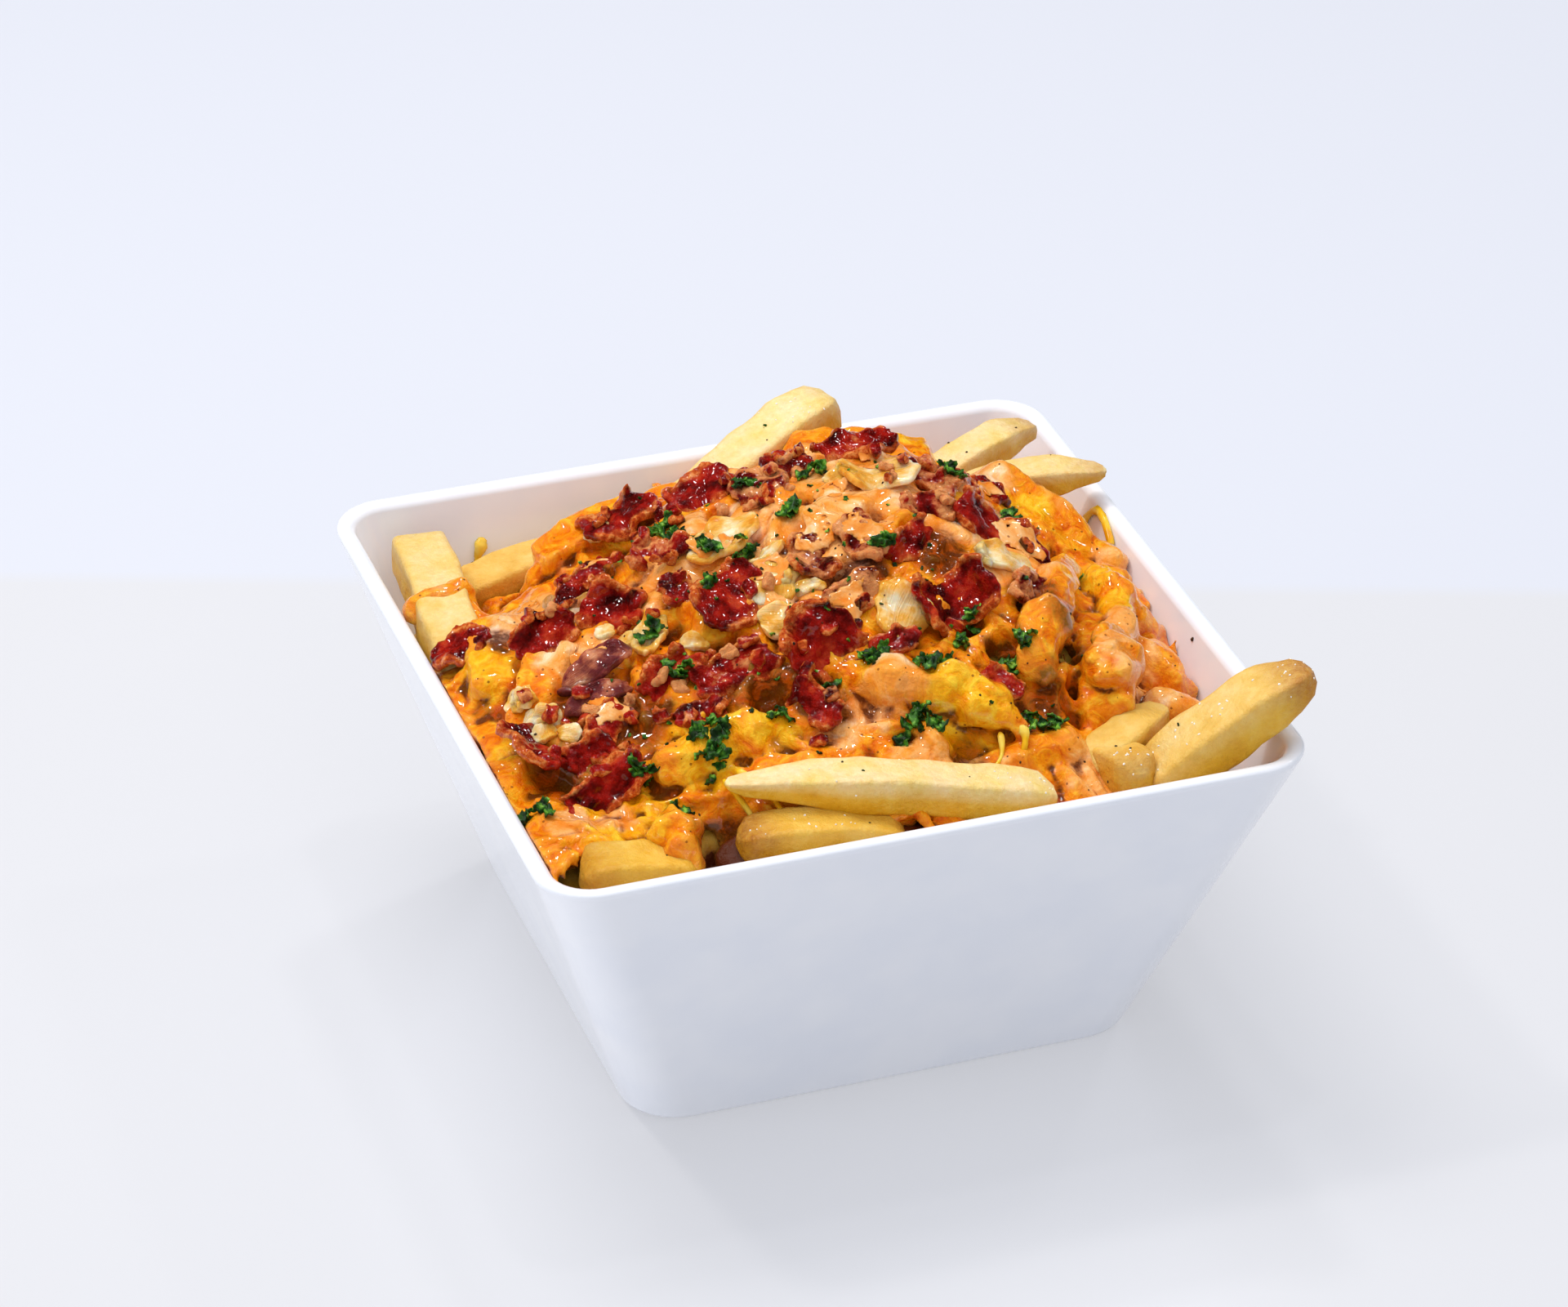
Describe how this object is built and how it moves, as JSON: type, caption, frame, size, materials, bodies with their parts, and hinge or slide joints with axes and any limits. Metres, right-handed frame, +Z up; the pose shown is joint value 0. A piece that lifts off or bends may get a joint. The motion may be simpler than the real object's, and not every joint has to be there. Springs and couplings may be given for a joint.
{
  "type": "loaded french fries in a square bowl",
  "caption": "Square flared white bowl heaped with french fries under melted cheese and pink sauce, topped with bacon bits, onion pieces and parsley.",
  "frame": {"origin": "centre of the bowl's flat foot, on the surface it stands on", "axes": "+Z up, -Y towards the bowl's front side, +X to the right seen from the front"},
  "size_m": [0.1624, 0.16, 0.106],
  "materials": {
    "melamine": "glossy white",
    "potato": "fried, dull",
    "cheese": "melted, wet",
    "bacon": "fried, greasy",
    "onion": "cooked, wet"
  },
  "bodies": {
    "root": {"bowl": "melamine", "fries": "potato", "cheese": "cheese", "onion_01": "onion", "onion_02": "onion", "onion_03": "onion", "onion_04": "onion", "onion_05": "onion", "onion_06": "onion", "onion_07": "onion", "onion_08": "onion", "onion_09": "onion", "onion_10": "onion", "bacon_01": "bacon", "bacon_02": "bacon", "bacon_03": "bacon", "bacon_04": "bacon", "bacon_05": "bacon", "bacon_06": "bacon", "bacon_07": "bacon", "bacon_08": "bacon", "bacon_09": "bacon", "bacon_10": "bacon", "bacon_11": "bacon", "bacon_12": "bacon", "bacon_13": "bacon", "bacon_14": "bacon", "bacon_15": "bacon", "bacon_16": "bacon", "bacon_17": "bacon", "bacon_18": "bacon", "bacon_19": "bacon", "bacon_20": "bacon", "bacon_21": "bacon", "bacon_22": "bacon", "bacon_23": "bacon", "bacon_24": "bacon", "bacon_25": "bacon", "bacon_26": "bacon", "bacon_27": "bacon", "bacon_28": "bacon", "bacon_29": "bacon", "bacon_30": "bacon", "bacon_31": "bacon", "bacon_32": "bacon", "bacon_33": "bacon", "bacon_34": "bacon"}
  },
  "joints": []
}
